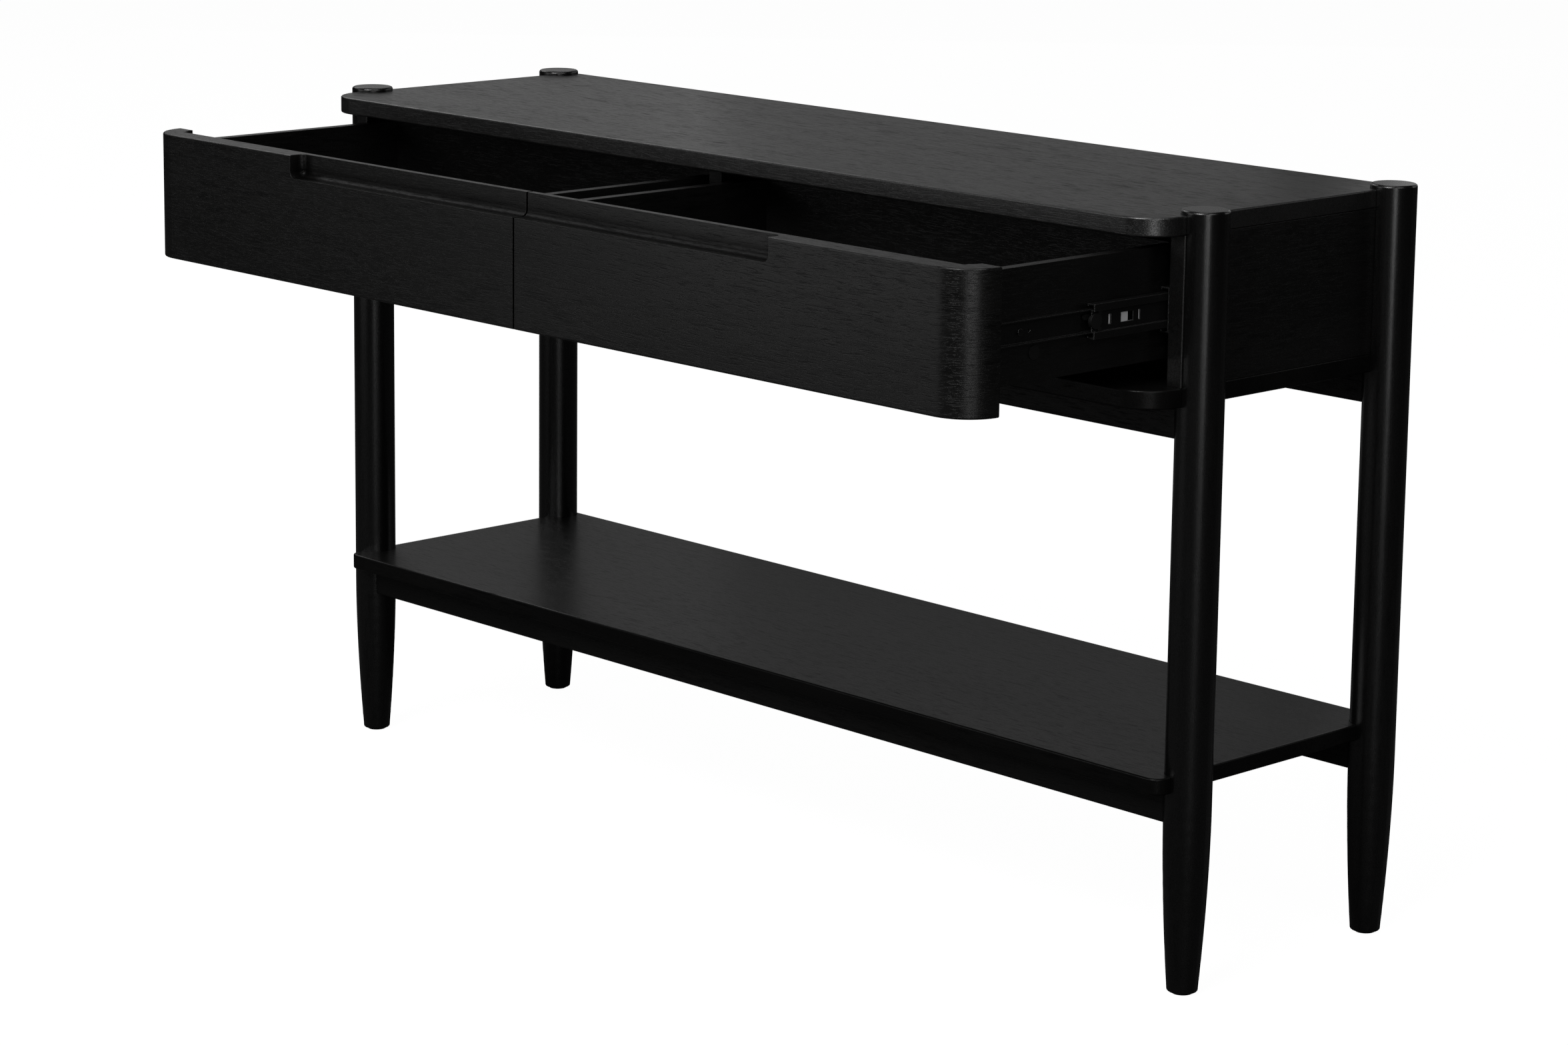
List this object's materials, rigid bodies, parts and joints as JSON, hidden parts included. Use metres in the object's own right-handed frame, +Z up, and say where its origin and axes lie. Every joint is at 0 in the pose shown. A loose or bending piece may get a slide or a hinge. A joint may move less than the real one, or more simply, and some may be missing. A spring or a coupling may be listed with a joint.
{
  "type": "console table",
  "caption": "Console table with full-height turned legs, a low shelf and round-ended drawers on telescopic ball-bearing slides, opened by a coved finger recess.",
  "frame": {"origin": "on the floor, at the middle of the outline with both drawers pulled out as stored", "axes": "+X along the table towards the right drawer, +Y from the drawer fronts to the back, +Z up"},
  "size_m": [1.4, 0.664, 0.82],
  "materials": {
    "black_oak": "satin black-stained oak veneer with open pores",
    "base_board": "satin black-stained thin board",
    "slide_steel": "satin dark grey coated steel",
    "zinc_steel": "bright zinc plate",
    "cage_steel": "bright steel strip and balls",
    "insert_brass": "satin",
    "beech": "bare",
    "black_nylon": "matte"
  },
  "bodies": {
    "table": {"leg_front_left": "black_oak", "leg_front_right": "black_oak", "leg_back_left": "black_oak", "leg_back_right": "black_oak", "floor_glides": "black_nylon", "top_panel": "black_oak", "bottom_panel": "black_oak", "end_panel_left": "black_oak", "end_panel_right": "black_oak", "back_panel": "black_oak", "centre_partition": "black_oak", "front_apron": "black_oak", "rear_apron": "black_oak", "shelf_panel": "black_oak", "front_shelf_rail": "black_oak", "rear_shelf_rail": "black_oak", "leg_bolts": "zinc_steel", "leg_inserts": "insert_brass", "bar_dowels": "beech", "bar_screws": "zinc_steel", "case_dowels": "beech", "cabinet_member_left_outer": "slide_steel", "cabinet_member_left_inner": "slide_steel", "cabinet_member_right_outer": "slide_steel", "cabinet_member_right_inner": "slide_steel", "cabinet_screws": "zinc_steel"},
    "drawer_left": {"drawer_front_left": "black_oak", "outer_side_left": "black_oak", "inner_side_left": "black_oak", "drawer_back_left": "black_oak", "drawer_base_left": "base_board", "box_dowels_left": "beech", "side_plug_left": "black_nylon", "member_screws_left": "zinc_steel", "drawer_member_left_outer": "slide_steel", "drawer_member_left_inner": "slide_steel", "release_levers_left": "black_nylon"},
    "slide_middles_left": {"middle_member_left_outer": "slide_steel", "middle_member_left_inner": "slide_steel", "detent_plates_left": "zinc_steel", "slide_bumpers_left": "black_nylon"},
    "outer_cages_left": {"outer_cages_left": "cage_steel"},
    "inner_cages_left": {"inner_cages_left": "cage_steel"},
    "drawer_right": {"drawer_front_right": "black_oak", "outer_side_right": "black_oak", "inner_side_right": "black_oak", "drawer_back_right": "black_oak", "drawer_base_right": "base_board", "box_dowels_right": "beech", "side_plug_right": "black_nylon", "member_screws_right": "zinc_steel", "drawer_member_right_outer": "slide_steel", "drawer_member_right_inner": "slide_steel", "release_levers_right": "black_nylon"},
    "slide_middles_right": {"middle_member_right_outer": "slide_steel", "middle_member_right_inner": "slide_steel", "detent_plates_right": "zinc_steel", "slide_bumpers_right": "black_nylon"},
    "outer_cages_right": {"outer_cages_right": "cage_steel"},
    "inner_cages_right": {"inner_cages_right": "cage_steel"}
  },
  "joints": [
    {"name": "drawer_left_slide", "type": "slide", "parent": "table", "child": "drawer_left", "axis": [0, -1, 0], "range_m": [-0.263, 0.037]},
    {"name": "slide_middles_left_slide", "type": "slide", "parent": "table", "child": "slide_middles_left", "axis": [0, -1, 0], "range_m": [-0.1315, 0.0185]},
    {"name": "inner_cages_left_slide", "type": "slide", "parent": "table", "child": "inner_cages_left", "axis": [0, -1, 0], "range_m": [-0.19725, 0.02775]},
    {"name": "outer_cages_left_slide", "type": "slide", "parent": "table", "child": "outer_cages_left", "axis": [0, -1, 0], "range_m": [-0.06575, 0.00925]},
    {"name": "drawer_right_slide", "type": "slide", "parent": "table", "child": "drawer_right", "axis": [0, -1, 0], "range_m": [-0.263, 0.037]},
    {"name": "slide_middles_right_slide", "type": "slide", "parent": "table", "child": "slide_middles_right", "axis": [0, -1, 0], "range_m": [-0.1315, 0.0185]},
    {"name": "inner_cages_right_slide", "type": "slide", "parent": "table", "child": "inner_cages_right", "axis": [0, -1, 0], "range_m": [-0.19725, 0.02775]},
    {"name": "outer_cages_right_slide", "type": "slide", "parent": "table", "child": "outer_cages_right", "axis": [0, -1, 0], "range_m": [-0.06575, 0.00925]}
  ],
  "couplings": [
    {"joint": "slide_middles_left_slide", "follows": "drawer_left_slide", "ratio": 0.5},
    {"joint": "inner_cages_left_slide", "follows": "drawer_left_slide", "ratio": 0.75},
    {"joint": "outer_cages_left_slide", "follows": "drawer_left_slide", "ratio": 0.25},
    {"joint": "slide_middles_right_slide", "follows": "drawer_right_slide", "ratio": 0.5},
    {"joint": "inner_cages_right_slide", "follows": "drawer_right_slide", "ratio": 0.75},
    {"joint": "outer_cages_right_slide", "follows": "drawer_right_slide", "ratio": 0.25}
  ]
}
